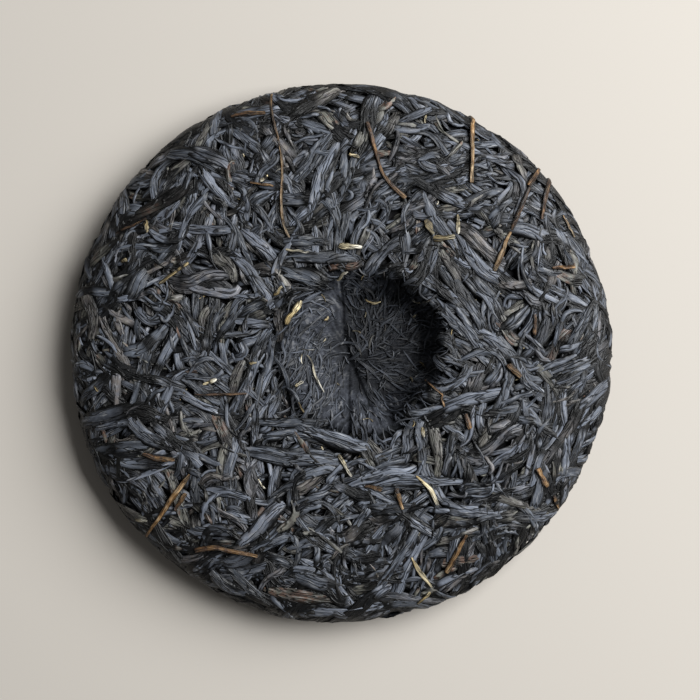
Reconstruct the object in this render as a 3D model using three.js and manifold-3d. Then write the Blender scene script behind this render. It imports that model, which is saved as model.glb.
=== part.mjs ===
// A round cake of pressed tea, lying on its domed front face, with the hollow of its back facing up.
// Units are millimetres and +Z is up. The origin is the centre of the flat spot that the cake rests on.
import * as THREE from "three";
import { mergeVertices } from "three/addons/utils/BufferGeometryUtils.js";
import Module from "manifold-3d";

const { lerp, smoothstep, seededRandom } = THREE.MathUtils;

// The pressed body, without the leaves that stand out of it.
const BODY_RADIUS = 99.4;
const RIM_HEIGHT = 10.5; // widest line of the cake, above the table
const CROWN_HEIGHT = 21.8; // highest ring, between the hollow and the rim
const REST_RADIUS = 30; // flat spot of the domed front face
const SHOULDER = { power: 6.5, root: 2.1 }; // back face: flat, with a round shoulder
const BELLY = { power: 2.4, root: 2 }; // front face: a low dome that turns up into the rim
const RIM_WAVES = [
  { size: 0.35, turns: 2, shift: 0.6 },
  { size: 0.25, turns: 3, shift: -1.1 },
  { size: 0.2, turns: 7, shift: 0 },
];
const FACE_SWELL = { height: 0.55, turnX: 0.052, shiftX: 0.9, turnY: 0.047, turnSlant: 0.083 };

// The hollow that the knot of the pressing cloth leaves in the back face.
const HOLLOW = {
  lip: new THREE.Vector2(8, 1.7), // centre of its mouth
  radius: 31,
  depth: 12.8,
  lean: new THREE.Vector2(10.5, 2), // how far the floor lies to one side of the mouth
  floorShare: 0.5, // of the radius, where the floor turns up into the wall
  mouthShare: 1.02, // of the radius, where the wall has turned over into the back face
  pleats: 7, // folds of the cloth
  pleatDepth: 0.035,
};

// The net of rings that the body is made of.
const SEGMENTS = 44;
const BACK_RINGS = [0, 0.07, 0.14, 0.2, 0.26, 0.32, 0.39, 0.54, 0.72, 0.85, 0.93, 0.98];
const FRONT_RINGS = [0, REST_RADIUS / BODY_RADIUS, 0.5, 0.68, 0.82, 0.92, 0.98];

// The largest leaves, which stand out of the body as long ridges with pointed ends.
const LEAF_SIDES = 3;
const LEAF_STEPS = 4;
const LEAF_LENGTH = [19, 34];
const LEAF_WIDTH = [3, 5.4];
const LEAF_HEIGHT = [1, 1.7];
const STEM_LENGTH = [17, 30];
const STEM_WIDTH = [1.5, 2.1];
const LEAF_FLANK = 0.86; // makes a three-sided bar as wide as the leaf where it leaves the surface
const LEAF_BOW = 0.3; // sideways bend, as a share of the length
const LEAF_TAPER = { loss: 0.7, power: 2.5 }; // how much narrower the ends are, and how late they narrow
const LEAF_DIVE = { depth: 1.7, power: 4 }; // how far the ends go under the surface, and how late
const PRESSED_LEVEL = 0.05; // leaves of the front face are pressed flat just above the table
const NORMAL_STEP = 0.4; // lengths along the surface that normals and directions are measured over
const HEADING_STEP = 0.02; // as a share of a leaf

// How many leaves there are, and how they are spread. Places on a face are shares of the radius.
const BACK_LEAVES = { count: 88, inner: 0.14, turn: 0 };
const BACK_STEMS = { count: 12, inner: 0.4, turn: 2.2 };
const FRONT_LEAVES = { count: 32, inner: 0.45, turn: 1.1 };
const RIM_LEAVES = { count: 28, loose: 0.3, reach: 4.5, tilt: 0.16 };
const FACE_REACH = 0.93; // where the outermost leaves of a face have their middles
const FACE_EDGE = 0.97; // where a leaf that runs outwards turns along the rim
const ALONG_RIM = [0.78, 0.95]; // leaves turn along the rim from the first to the second
const INTO_HOLLOW = [0.34, 0.5]; // leaves run into the hollow inside the first
const SWATHE_X = { swing: 2.6, turn: 0.045, shift: 0.8 };
const SWATHE_Y = { swing: 2.2, turn: 0.051, shift: -0.3 };
const HEADING_SPREAD = 0.5;
const GOLDEN_ANGLE = Math.PI * (3 - Math.sqrt(5));
const GOLDEN_SHARE = (Math.sqrt(5) - 1) / 2;
const SEED = 357;

// Radius of the widest line at an angle: nearly round, with a slow wobble.
function rimRadius(angle) {
  const waves = RIM_WAVES.map(({ size, turns, shift }) => size * Math.cos(turns * angle + shift));
  return waves.reduce((sum, wave) => sum + wave, BODY_RADIUS);
}

// How far out a point is, from 0 at the axis to 1 on the widest line.
function share(x, y) {
  return Math.hypot(x, y) / rimRadius(Math.atan2(y, x));
}

// Depth of the hollow at a point. Its floor leans to one side, so one wall is steep and the other is a slope.
function hollowDepth(x, y) {
  const place = new THREE.Vector2(x, y).sub(HOLLOW.lip);
  const near = Math.max(0, 1 - place.lengthSq() / HOLLOW.radius ** 2);
  place.addScaledVector(HOLLOW.lean, -near);
  const pleat = 1 + HOLLOW.pleatDepth * Math.cos(HOLLOW.pleats * place.angle());
  const out = (place.length() / HOLLOW.radius) * pleat;
  return HOLLOW.depth * (1 - smoothstep(out, HOLLOW.floorShare, HOLLOW.mouthShare));
}

function backHeight(x, y) {
  const rise = (1 - share(x, y) ** SHOULDER.power) ** (1 / SHOULDER.root);
  const { height, turnX, shiftX, turnY, turnSlant } = FACE_SWELL;
  const swell = height * (Math.sin(turnX * x + shiftX) * Math.cos(turnY * y) + Math.sin(turnSlant * (x - y)));
  return RIM_HEIGHT + (CROWN_HEIGHT - RIM_HEIGHT + swell) * rise - hollowDepth(x, y);
}

function frontHeight(x, y) {
  const rest = REST_RADIUS / BODY_RADIUS;
  const out = Math.max(0, (share(x, y) - rest) / (1 - rest));
  return RIM_HEIGHT * (1 - (1 - out ** BELLY.power) ** (1 / BELLY.root));
}

// Three patches of the surface. Each takes two lengths along the surface and gives a point on it.
function backFace(a, b) {
  const inside = Math.min(1, FACE_EDGE / share(a, b));
  return new THREE.Vector3(a * inside, b * inside, backHeight(a * inside, b * inside));
}
function frontFace(a, b) {
  const inside = Math.min(1, FACE_EDGE / share(a, -b));
  return new THREE.Vector3(a * inside, -b * inside, frontHeight(a * inside, -b * inside));
}
function rimBand(a, b) {
  const angle = a / BODY_RADIUS;
  const reach = b > 0 ? b / (CROWN_HEIGHT - RIM_HEIGHT) : -b / RIM_HEIGHT;
  const bulge = b > 0 ? SHOULDER : BELLY;
  const shrink = (1 - Math.min(reach, 0.99) ** bulge.root) ** (1 / bulge.power);
  const rest = b > 0 ? 0 : REST_RADIUS;
  const radius = lerp(rest, rimRadius(angle), shrink);
  return new THREE.Vector3(radius * Math.cos(angle), radius * Math.sin(angle), RIM_HEIGHT + b);
}

// The body: a lathe whose rings are moved onto the surface. Inner rings of the back gather round the hollow.
function bodyGeometry() {
  const profile = [
    ...FRONT_RINGS.map((ring) => new THREE.Vector2(ring, -1)),
    new THREE.Vector2(1, 0),
    ...BACK_RINGS.toReversed().map((ring) => new THREE.Vector2(ring, 1)),
  ];
  const geometry = new THREE.LatheGeometry(profile, SEGMENTS).rotateX(Math.PI / 2);
  const hollowFloor = HOLLOW.lip.clone().add(HOLLOW.lean);
  const place = geometry.getAttribute("position");
  for (let i = 0; i < place.count; i++) {
    const [ring, side] = [Math.hypot(place.getX(i), place.getY(i)), Math.round(place.getZ(i))];
    const angle = Math.atan2(place.getY(i), place.getX(i));
    const pull = side > 0 ? (1 - ring) ** 2 : 0;
    const x = ring * rimRadius(angle) * Math.cos(angle) + pull * hollowFloor.x;
    const y = ring * rimRadius(angle) * Math.sin(angle) + pull * hollowFloor.y;
    const height = side === 0 ? RIM_HEIGHT : side > 0 ? backHeight(x, y) : frontHeight(x, y);
    place.setXYZ(i, x, y, height);
  }
  return geometry;
}

// Point, direction and outward normal at a share of a leaf's length, on its patch of the surface.
function leafFrame(leaf, along) {
  const onPatch = (t) => {
    const run = t * leaf.length;
    const bow = LEAF_BOW * leaf.bend * leaf.length * (0.25 - t * t);
    const a = leaf.a + run * Math.cos(leaf.heading) - bow * Math.sin(leaf.heading);
    const b = leaf.b + run * Math.sin(leaf.heading) + bow * Math.cos(leaf.heading);
    return [a, b];
  };
  const [a, b] = onPatch(along);
  const point = leaf.patch(a, b);
  const acrossA = leaf.patch(a + NORMAL_STEP, b).sub(leaf.patch(a - NORMAL_STEP, b));
  const acrossB = leaf.patch(a, b + NORMAL_STEP).sub(leaf.patch(a, b - NORMAL_STEP));
  const normal = acrossA.cross(acrossB).normalize();
  const before = leaf.patch(...onPatch(along - HEADING_STEP));
  const ahead = leaf.patch(...onPatch(along + HEADING_STEP)).sub(before);
  const direction = ahead.addScaledVector(normal, -ahead.dot(normal)).normalize();
  return { point, normal, direction };
}

// One leaf: a bar bent along the surface, widest in the middle, with its ends under the surface.
function leafGeometry(leaf) {
  const geometry = new THREE.CylinderGeometry(1, 1, 1, LEAF_SIDES, LEAF_STEPS);
  const place = geometry.getAttribute("position");
  for (let i = 0; i < place.count; i++) {
    const along = place.getY(i);
    const { point, normal, direction } = leafFrame(leaf, along);
    const across = new THREE.Vector3().crossVectors(direction, normal);
    const toEnd = Math.abs(2 * along);
    const taper = 1 - LEAF_TAPER.loss * toEnd ** LEAF_TAPER.power;
    const lift = -LEAF_DIVE.depth * toEnd ** LEAF_DIVE.power;
    point.addScaledVector(across, LEAF_FLANK * leaf.width * taper * place.getX(i));
    point.addScaledVector(normal, lift + leaf.height * taper * place.getZ(i));
    place.setXYZ(i, point.x, point.y, Math.max(point.z, PRESSED_LEVEL));
  }
  return geometry;
}

const between = ([low, high]) => lerp(low, high, seededRandom());
const spread = (size) => size * (2 * seededRandom() - 1);

function leafOfSize(lengths, widths) {
  return { length: between(lengths), width: between(widths), height: between(LEAF_HEIGHT), bend: spread(1) };
}

// Leaves spread evenly over a face. Near the hollow they run into it, and elsewhere in slow swathes.
function faceLeaves(patch, { count, inner, turn }, lengths, widths) {
  return Array.from({ length: count }, (_, i) => {
    const out = Math.sqrt(lerp(inner ** 2, FACE_REACH ** 2, (i + 0.5) / count));
    const angle = i * GOLDEN_ANGLE + turn;
    const a = out * BODY_RADIUS * Math.cos(angle);
    const b = out * BODY_RADIUS * Math.sin(angle);
    const swatheX = SWATHE_X.swing * Math.sin(SWATHE_X.turn * a + SWATHE_X.shift);
    const swatheY = SWATHE_Y.swing * Math.cos(SWATHE_Y.turn * b + SWATHE_Y.shift);
    const swathe = swatheX + swatheY;
    const toRim = smoothstep(out, ...ALONG_RIM);
    const toHollow = patch === backFace ? 1 - smoothstep(out, ...INTO_HOLLOW) : 0;
    const loose = toHollow > toRim ? lerp(swathe, angle, toHollow) : lerp(swathe, angle + Math.PI / 2, toRim);
    return { patch, a, b, heading: loose + spread(HEADING_SPREAD), ...leafOfSize(lengths, widths) };
  });
}

// Leaves that run round the rim, some slanting up over the shoulder.
function rimLeaves({ count, loose, reach, tilt }) {
  return Array.from({ length: count }, (_, i) => ({
    patch: rimBand,
    a: ((i + spread(loose)) / count) * 2 * Math.PI * BODY_RADIUS,
    b: lerp(-reach, reach, (i * GOLDEN_SHARE) % 1),
    heading: spread(tilt),
    ...leafOfSize(LEAF_LENGTH, LEAF_WIDTH),
  }));
}

const wasm = await Module();
wasm.setup();

function solidOf(geometry) {
  const bare = geometry.clone();
  bare.deleteAttribute("normal");
  bare.deleteAttribute("uv");
  const merged = mergeVertices(bare);
  const triVerts = new Uint32Array(merged.index.array);
  const vertProperties = merged.getAttribute("position").array;
  return new wasm.Manifold(new wasm.Mesh({ numProp: 3, vertProperties, triVerts }));
}

function geometryOf(solid) {
  const { vertProperties, triVerts } = solid.getMesh();
  const geometry = new THREE.BufferGeometry();
  geometry.setAttribute("position", new THREE.BufferAttribute(vertProperties, 3));
  geometry.setIndex(new THREE.BufferAttribute(triVerts, 1));
  geometry.computeVertexNormals();
  return geometry;
}

// The body with every leaf fused on. Only the outer shell is kept, so no scrap or sealed pocket is left.
function teaCakeGeometry() {
  seededRandom(SEED);
  const leaves = [
    ...faceLeaves(backFace, BACK_LEAVES, LEAF_LENGTH, LEAF_WIDTH),
    ...faceLeaves(backFace, BACK_STEMS, STEM_LENGTH, STEM_WIDTH),
    ...rimLeaves(RIM_LEAVES),
    ...faceLeaves(frontFace, FRONT_LEAVES, LEAF_LENGTH, LEAF_WIDTH),
  ];
  const fused = leaves.reduce((cake, leaf) => cake.add(solidOf(leafGeometry(leaf))), solidOf(bodyGeometry()));
  const shells = fused.decompose().sort((one, other) => other.volume() - one.volume());
  return geometryOf(shells[0]);
}

const pressedTea = new THREE.MeshStandardMaterial({ color: 0x3a3b3e, roughness: 0.72, metalness: 0 });
const teaCake = new THREE.Mesh(teaCakeGeometry(), pressedTea);
teaCake.name = "tea_cake";

const part = new THREE.Group();
part.add(teaCake);

export default part;
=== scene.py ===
# A round cake of pressed tea, lying on its domed front face, with the hollow of its back facing up.
# Lengths are in millimetres until a mesh is made, and in metres from there on.
import math
import random

import bpy
import numpy as np
from mathutils import Euler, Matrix, Vector, kdtree, noise
from mathutils.bvhtree import BVHTree


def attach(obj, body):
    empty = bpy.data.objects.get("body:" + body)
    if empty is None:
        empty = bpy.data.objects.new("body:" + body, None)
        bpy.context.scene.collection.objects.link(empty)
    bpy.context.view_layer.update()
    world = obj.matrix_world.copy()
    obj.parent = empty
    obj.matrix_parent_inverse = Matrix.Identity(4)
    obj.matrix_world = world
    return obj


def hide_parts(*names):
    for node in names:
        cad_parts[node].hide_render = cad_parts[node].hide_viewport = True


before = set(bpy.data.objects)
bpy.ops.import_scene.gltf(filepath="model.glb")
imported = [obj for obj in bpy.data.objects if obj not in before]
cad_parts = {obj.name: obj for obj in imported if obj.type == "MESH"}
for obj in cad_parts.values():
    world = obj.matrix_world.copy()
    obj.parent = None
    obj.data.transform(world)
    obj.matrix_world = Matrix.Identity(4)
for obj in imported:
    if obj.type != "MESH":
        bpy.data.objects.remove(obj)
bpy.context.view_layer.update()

MM = 0.001
SEED = 357
draw = random.Random(SEED)
noise.seed_set(SEED)

# The pressed body, with the same sizes as the CAD solid.
BODY_RADIUS = 99.4
RIM_HEIGHT = 10.5
CROWN_HEIGHT = 21.8
REST_RADIUS = 30.0
SHOULDER_POWER, SHOULDER_ROOT = 6.5, 2.1
BELLY_POWER, BELLY_ROOT = 2.4, 2.0
RIM_WAVES = ((0.35, 2, 0.6), (0.25, 3, -1.1), (0.2, 7, 0.0))  # size, turns, shift
SWELL = 0.55
SWELL_X, SWELL_SHIFT, SWELL_Y, SWELL_SLANT = 0.052, 0.9, 0.047, 0.083

# The hollow of the back face. Its floor leans to one side, so one wall is steep and the other is a slope.
LIP_X, LIP_Y = 8.0, 1.7
HOLLOW_RADIUS = 31.0
HOLLOW_DEPTH = 12.8
LEAN_X, LEAN_Y = 10.5, 2.0
FLOOR_SHARE, MOUTH_SHARE = 0.5, 1.02
PLEATS, PLEAT_DEPTH = 7, 0.035
FLOOR_X, FLOOR_Y = LIP_X + LEAN_X, LIP_Y + LEAN_Y

# The bed of crushed leaf under the leaves that show: rings in the hollow, on the back and front, segments.
BED_DEPTH = 2.6
BED_GRID = (74, 40, 30, 384)
PILE_GRID = (40, 100, 44, 540)
HOLLOW_RING = 0.37  # rings are close together inside this share of the radius
BED_RELIEF = 0.35
PILE_CEILING = 2.9
BURIED_DEPTH = 1.5
COVERED = 0.95  # strips that are this buried from end to end don't show
CLOSED_RIM = 86.0  # strips that reach past this radius are all kept
BARE_SHARE = 0.25  # the barest part of a strip's width

# The lining of the hollow, where the cloth smeared the leaf smooth.
LINING_DEPTH = 0.5
LINING_X, LINING_Y = 7.6, 1.2
LINING_EDGE = (28.0, 34.0)  # radii between which the lining sinks under the strips
STRIP_EDGE = (25.5, 30.5)  # strips end at a radius between these
FAN_X, FAN_Y = 4.4, -3.5  # the streaks of the lining run out from here

# The photograph's frame, which the camera and the picked-out stems and buds are placed by.
FRAME_PIXELS = 700
CAKE_PIXEL = (340.0, 352.5)
MM_PER_PIXEL = 200.0 / 541.0


def smoothstep(value, low, high):
    t = np.clip((value - low) / (high - low), 0.0, 1.0)
    return t * t * (3.0 - 2.0 * t)


def rim_radius(angle):
    return BODY_RADIUS + sum(size * np.cos(turns * angle + shift) for size, turns, shift in RIM_WAVES)


def share(x, y):
    """How far out a point is, from 0 at the axis to 1 on the widest line."""
    return np.minimum(np.hypot(x, y) / rim_radius(np.arctan2(y, x)), 1.0)


def hollow_share(x, y):
    """How far out a point is in the hollow, from 0 in the middle of its floor to about 1 at its lip."""
    px, py = x - LIP_X, y - LIP_Y
    near = np.maximum(0.0, 1.0 - (px * px + py * py) / HOLLOW_RADIUS ** 2)
    px, py = px - near * LEAN_X, py - near * LEAN_Y
    pleat = 1.0 + PLEAT_DEPTH * np.cos(PLEATS * np.arctan2(py, px))
    return np.hypot(px, py) / HOLLOW_RADIUS * pleat


def deep_share(x, y):
    """1 on the floor of the hollow, and 0 at its lip and beyond."""
    return 1.0 - smoothstep(hollow_share(x, y), FLOOR_SHARE, MOUTH_SHARE)


def lining_share(x, y):
    """1 where the lining of the hollow shows, and 0 where strips cover it."""
    return 1.0 - smoothstep(np.hypot(x - LINING_X, y - LINING_Y), *LINING_EDGE)


def back_height(x, y):
    rise = (1.0 - share(x, y) ** SHOULDER_POWER) ** (1.0 / SHOULDER_ROOT)
    swell = np.sin(SWELL_X * x + SWELL_SHIFT) * np.cos(SWELL_Y * y) + np.sin(SWELL_SLANT * (x - y))
    crown = CROWN_HEIGHT - RIM_HEIGHT + SWELL * swell
    return RIM_HEIGHT + crown * rise - HOLLOW_DEPTH * deep_share(x, y)


def front_height(x, y):
    rest = REST_RADIUS / BODY_RADIUS
    out = np.maximum(0.0, (share(x, y) - rest) / (1.0 - rest))
    return RIM_HEIGHT * (1.0 - (1.0 - out ** BELLY_POWER) ** (1.0 / BELLY_ROOT))


def ring_points(ring, side, segments):
    """One ring of the surface: ring is 0 at the axis and 1 on the widest line; side is 1 on the back face."""
    angle = np.arange(segments) * (2.0 * np.pi / segments)
    radius = ring * rim_radius(angle)
    pull = (1.0 - ring) ** 2 if side > 0 else 0.0
    x = radius * np.cos(angle) + pull * FLOOR_X
    y = radius * np.sin(angle) + pull * FLOOR_Y
    z = back_height(x, y) if side > 0 else front_height(x, y)
    return np.stack([x, y, z], axis=1)


def bed_surface(hollow_rings, back_rings, front_rings, segments):
    """Points and faces of the bed: the body's surface, moved inwards by the depth of the leaves."""
    front = np.sin(np.linspace(0.0, np.pi / 2.0, front_rings + 1))[1:]
    outer = np.sin(np.linspace(math.asin(HOLLOW_RING), np.pi / 2.0, back_rings + 1))[:-1]
    inner = np.linspace(0.0, HOLLOW_RING, hollow_rings + 1)[1:-1]
    back = np.concatenate([inner, outer])[::-1]
    rings = [ring_points(ring, -1, segments) for ring in front]
    rings += [ring_points(ring, 1, segments) for ring in back]
    grid = np.array(rings)
    round_step = np.roll(grid, -1, axis=1) - np.roll(grid, 1, axis=1)
    up_step = np.gradient(grid, axis=0)
    normal = np.cross(round_step, up_step)
    normal /= np.linalg.norm(normal, axis=2, keepdims=True)
    on_back = (np.arange(len(rings)) >= len(front))[:, None]
    lined = lining_share(grid[..., 0], grid[..., 1]) * on_back
    grid = grid - (BED_DEPTH + (LINING_DEPTH - BED_DEPTH) * lined)[..., None] * normal
    front_middle = ring_points(0.0, -1, segments)[0] + (0, 0, BED_DEPTH)
    back_middle = ring_points(0.0, 1, segments)[0] - (0, 0, LINING_DEPTH)
    points = np.concatenate([grid.reshape(-1, 3), [front_middle, back_middle]])
    count = len(rings)
    low = np.arange(count - 1)[:, None] * segments
    here = np.arange(segments)[None, :]
    after = (here + 1) % segments
    quads = np.stack([low + here, low + after, low + segments + after, low + segments + here], axis=2)
    front_pole, back_pole = len(points) - 2, len(points) - 1
    last = (count - 1) * segments
    caps = [(front_pole, (i + 1) % segments, i) for i in range(segments)]
    caps += [(back_pole, last + i, last + (i + 1) % segments) for i in range(segments)]
    return points, quads.reshape(-1, 4).tolist() + caps


bed_points, bed_faces = bed_surface(*BED_GRID)
bed_tree = BVHTree.FromPolygons([Vector(p) for p in bed_points], bed_faces)

# How high leaves are piled over many points of the bed.
pile_points = bed_surface(*PILE_GRID)[0]
pile_height = np.zeros(len(pile_points))
pile_finder = kdtree.KDTree(len(pile_points))
for pile_index, pile_point in enumerate(pile_points):
    pile_finder.insert(pile_point, pile_index)
pile_finder.balance()


def onto_bed(point):
    """Nearest point of the bed and the outward normal there."""
    place, normal, _, _ = bed_tree.find_nearest(point)
    return place, normal


SWATHE_SIZE = 27.0
SWATHE_SHIFT = Vector((7.3, 1.9, 4.4))
HOLLOW_PULL = (27.0, 41.0)
RIM_PULL = (84.0, 96.0)
SLOPE_SIDE = Vector((math.cos(math.radians(150.0)), math.sin(math.radians(150.0)), 0.0))
SLOPE_TURN = math.radians(75.0)  # leaf on the slope of the hollow lies along the lip rather than down it


def flow(place, normal):
    """Direction that leaves lie along: slow swathes, into the hollow near it and along the rim near that."""
    stream = noise.noise_vector(place / SWATHE_SIZE + SWATHE_SHIFT)
    stream = stream - normal * stream.dot(normal)
    stream.normalize()
    to_fan = Vector((FAN_X - place.x, FAN_Y - place.y, 0.0)).normalized()
    slope_side = max(0.0, -to_fan.dot(SLOPE_SIDE))
    to_fan.rotate(Euler((0.0, 0.0, SLOPE_TURN * slope_side)))
    along_rim = Vector((-place.y, place.x, 0.0)).normalized()
    from_lip = math.hypot(place.x - LIP_X, place.y - LIP_Y)
    on_back = normal.z > 0.0
    near_hollow = 1.0 - smoothstep(from_lip, *HOLLOW_PULL) if on_back else 0.0
    near_rim = smoothstep(math.hypot(place.x, place.y), *RIM_PULL)
    for pull, weight in ((to_fan, near_hollow), (along_rim, near_rim)):
        if pull.dot(stream) < 0.0:
            pull.negate()
        stream = stream.lerp(pull, float(weight))
    stream = stream - normal * stream.dot(normal)
    return stream.normalized()


def turned(direction, normal, angle):
    return direction * math.cos(angle) + normal.cross(direction) * math.sin(angle)


HOOK_TURN = (0.8, 3.0)
HOOK_RATE, HOOK_POWER = 4.0, 3
SWAY_WAVES = (3.0, 8.0)
LOCK_CURVE_SPREAD, LOCK_BEND_SPREAD = 0.12, 0.15


def drawn_curve(kind):
    """How a leaf of a kind winds: an even bend, a hook at its tip and a sway from side to side."""
    hooked = draw.random() < kind["hooks"]
    return {
        "bend": draw.gauss(0.0, kind["bend"]),
        "hook": draw.choice((-1.0, 1.0)) * draw.uniform(*HOOK_TURN) if hooked else 0.0,
        "sway": draw.gauss(0.0, kind["sway"]),
        "phase": draw.uniform(0.0, 2.0 * math.pi),
        "waves": draw.uniform(*SWAY_WAVES),
    }


def neighbour_curve(curve):
    """Nearly the same winding, for the next leaf of a lock."""
    near = {key: value * draw.gauss(1.0, LOCK_CURVE_SPREAD) for key, value in curve.items()}
    near["bend"] += draw.gauss(0.0, LOCK_BEND_SPREAD)
    return near


def walk(start, heading, length, steps, curve, follow):
    """Points and normals of a path on the bed, which winds and partly follows the flow."""
    place, normal = onto_bed(start)
    step = length / (steps - 1)
    path, normals = [place], [normal]
    ahead = heading
    for i in range(steps - 1):
        run = i / steps
        sway = curve["sway"] * math.sin(curve["phase"] + curve["waves"] * run)
        turn = curve["bend"] + HOOK_RATE * curve["hook"] * run ** HOOK_POWER + sway
        ahead = ahead - normal * ahead.dot(normal)
        ahead.normalize()
        stream = flow(place, normal)
        if stream.dot(ahead) < 0.0:
            stream.negate()
        ahead = ahead.lerp(stream, follow) + normal.cross(ahead) * (turn / (steps - 1))
        place, normal = onto_bed(place + ahead.normalized() * step)
        path.append(place)
        normals.append(normal)
    return np.array(path), np.array(normals)


def smooth_run(values, rounds):
    for _ in range(rounds):
        padded = np.concatenate([values[:1], values, values[-1:]])
        values = 0.25 * padded[:-2] + 0.5 * padded[1:-1] + 0.25 * padded[2:]
    return values


def unit_rows(rows):
    return rows / (np.linalg.norm(rows, axis=1, keepdims=True) + 1e-9)


def pressed(height):
    """Leaves higher in the pile are pressed closer together."""
    return PILE_CEILING * (1.0 - np.exp(-height / PILE_CEILING))


WIDTH_WAVE = 0.22
WIDTH_TURNS, WIDTH_SHIFT = (3.0, 9.0), (0.0, 6.0)
FOOT_REACH = 0.7  # the least radius, in millimetres, that a strip rests on
FOOT_SIDE = 0.7  # a strip leans by the pile at this share of its half width
LEAN_LIMIT = 0.35
LEAST_HALF = 0.4
PILE_SHARE = 0.7  # share of a strip's thickness that adds to the pile
MIDDLE_SHARE = 0.35  # a strip's middle is this share of its thickness above the pile
TABLE_SHARE, TABLE_GAP = 0.25, 0.05


def lay(path, normals, shape, looks, lift=0.0):
    """Lays one strip on the pile and returns its spine, half widths, roll and looks for the sweep."""
    steps = len(path)
    run = np.linspace(0.0, 1.0, steps)
    normals = unit_rows(smooth_run(normals, 2))
    across = unit_rows(np.cross(np.gradient(path, axis=0), normals))
    swelling = np.sin(np.pi * run ** shape["lopsided"]) ** shape["bluntness"]
    half = 0.5 * shape["width"] * (shape["tip"] + (1.0 - shape["tip"]) * swelling)
    half = half * (1.0 + WIDTH_WAVE * np.sin(run * draw.uniform(*WIDTH_TURNS) + draw.uniform(*WIDTH_SHIFT)))
    under, lean = np.zeros(steps), np.zeros(steps)
    near = []
    for i in range(steps):
        found = [hit[1] for hit in pile_finder.find_range(path[i], max(half[i], FOOT_REACH))]
        near.append(found or [pile_finder.find(path[i])[1]])
        under[i] = pile_height[near[i]].max()
        side = across[i] * (FOOT_SIDE * half[i])
        left = pile_height[pile_finder.find(path[i] - side)[1]]
        right = pile_height[pile_finder.find(path[i] + side)[1]]
        lean[i] = math.atan2(left - right, 2.0 * max(half[i], LEAST_HALF))
    under = smooth_run(under, 2)
    thick = shape["plump"] * shape["width"]
    top = under + PILE_SHARE * thick * half * 2.0 / shape["width"]
    for i in range(steps):
        pile_height[near[i]] = np.maximum(pile_height[near[i]], top[i])
    tip_dive = shape["dive"] * np.abs(2.0 * run - 1.0) ** 4
    level = pressed(under) + MIDDLE_SHARE * thick - tip_dive + lift
    spine = path + normals * level[:, None]
    spine[:, 2] = np.maximum(spine[:, 2], TABLE_SHARE * thick + TABLE_GAP)
    roll = np.clip(smooth_run(lean, 2), -LEAN_LIMIT, LEAN_LIMIT) + shape["twist"] * (run - 0.5)
    return {"spine": spine, "lie": normals, "half": half, "roll": roll, "plump": shape["plump"],
            "near": near, "top": top, **looks}


RAY_TOP, RAY_BOTTOM, RAY_SIDE = 60.0, -30.0, 140.0


def back_start(x, y):
    hit = bed_tree.ray_cast(Vector((x, y, RAY_TOP)), Vector((0, 0, -1)))[0]
    return hit if hit else Vector((x, y, RIM_HEIGHT))


def front_start(x, y):
    hit = bed_tree.ray_cast(Vector((x, y, RAY_BOTTOM)), Vector((0, 0, 1)))[0]
    return hit if hit else Vector((x, y, RIM_HEIGHT))


def rim_start(angle, height):
    inwards = Vector((-math.cos(angle), -math.sin(angle), 0.0))
    return bed_tree.ray_cast(Vector((0.0, 0.0, height)) - inwards * RAY_SIDE, inwards)[0]


GOLDEN_ANGLE = math.pi * (3.0 - math.sqrt(5.0))


def disc_spots(count, inner, outer, centre=(0.0, 0.0), loose=3.0):
    """Spots spread evenly over a ring-shaped area, each moved a little at random."""
    for i in range(count):
        out = math.sqrt(inner ** 2 + (outer ** 2 - inner ** 2) * (i + 0.5) / count)
        x = centre[0] + out * math.cos(i * GOLDEN_ANGLE) + draw.gauss(0.0, loose)
        y = centre[1] + out * math.sin(i * GOLDEN_ANGLE) + draw.gauss(0.0, loose)
        yield x, y


LENGTH_SKEW = 1.4
TIP_WIDTH = (0.3, 0.75)
LOPSIDED = (0.75, 1.3)
BLUNTNESS = (0.25, 0.55)
TONE, TONE_SPREAD = 0.53, 0.17
# Strips that start deep in the hollow get a darker tone: painted shade.
HOLLOW_PAINTED_SHADE = 0.7


def strand(start, kind, heading=None, curve=None, keep_out=True):
    """One leaf of a kind that starts at a place on the bed, or None where it would enter the lining."""
    place, normal = onto_bed(start)
    if heading is None:
        stray = draw.random() < kind["stray"]
        angle = draw.uniform(-math.pi, math.pi) if stray else draw.gauss(0.0, kind["spread"])
        heading = turned(flow(place, normal) * draw.choice((-1.0, 1.0)), normal, angle)
    shortest, longest = kind["length"]
    length = shortest + (longest - shortest) * draw.random() ** LENGTH_SKEW
    path, normals = walk(place, heading, length, kind["steps"], curve or drawn_curve(kind), kind["follow"])
    on_back = path[0, 2] > 0.5 * RIM_HEIGHT
    if keep_out and on_back:
        if np.hypot(path[:, 0] - LINING_X, path[:, 1] - LINING_Y).min() < draw.uniform(*STRIP_EDGE):
            return None
    shape = {
        "width": draw.triangular(*kind["width"]),
        "plump": draw.uniform(*kind["plump"]),
        "dive": draw.uniform(*kind["dive"]),
        "twist": draw.gauss(0.0, kind["twist"]),
        "tip": draw.uniform(*TIP_WIDTH),
        "lopsided": draw.uniform(*LOPSIDED),
        "bluntness": draw.uniform(*BLUNTNESS),
    }
    # Painted shade: a darker tone deeper in the hollow.
    deep = float(deep_share(place.x, place.y)) if on_back else 0.0
    looks = {"tone": draw.gauss(TONE, TONE_SPREAD) - HOLLOW_PAINTED_SHADE * deep, "tint": draw.random()}
    return lay(path, normals, shape, looks)


def scattered(spots, kind, keep_out=True):
    leaves = [strand(spot, kind, keep_out=keep_out) for spot in spots if spot]
    return [leaf for leaf in leaves if leaf]


LOCK_SPREAD = 0.5
LOCK_PITCH = 0.85
LOCK_STAGGER = (3.0, 14.0)
LOCK_WANDER = 0.15


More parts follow.
